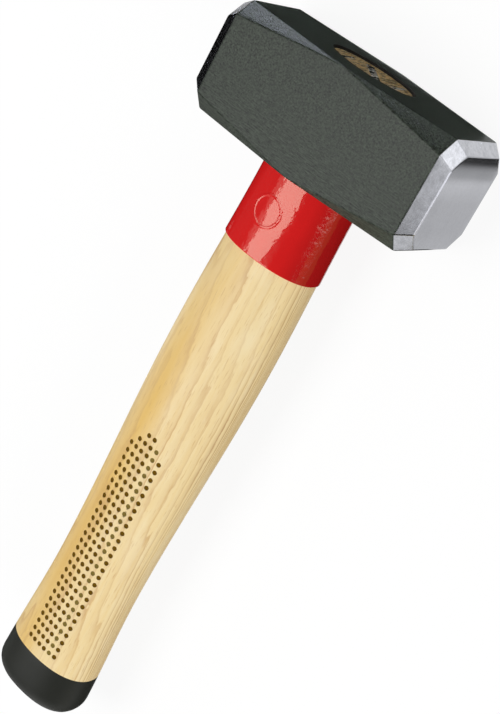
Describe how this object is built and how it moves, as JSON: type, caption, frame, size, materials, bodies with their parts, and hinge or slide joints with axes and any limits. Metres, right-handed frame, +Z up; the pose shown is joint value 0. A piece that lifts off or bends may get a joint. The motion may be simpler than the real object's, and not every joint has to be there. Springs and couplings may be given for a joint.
{
  "type": "club hammer",
  "caption": "Club hammer: square forged steel head with bevelled striking faces on an oval hickory handle with a collar sleeve, wedges and a dipped butt.",
  "frame": {"origin": "centre of the head's lower side face, on which the hammer lies", "axes": "+X through the striking faces, +Y from the handle towards the top of the head, +Z up, square to the rest face"},
  "size_m": [0.095, 0.2624, 0.04],
  "materials": {
    "painted_steel": "fine matt anthracite paint, ends ground bright",
    "ground_steel": "ground bright",
    "hickory": "clear lacquered hickory",
    "burnt_dots": "scorched dimples",
    "red_plastic": "glossy",
    "wedge_steel": "sheared and hammered",
    "black_coat": "satin dip coat"
  },
  "bodies": {
    "root": {"head": "painted_steel", "handle": "hickory", "collar_sleeve": "red_plastic", "wedge_left": "wedge_steel", "wedge_middle": "wedge_steel", "wedge_right": "wedge_steel", "end_dip": "black_coat"}
  },
  "joints": []
}
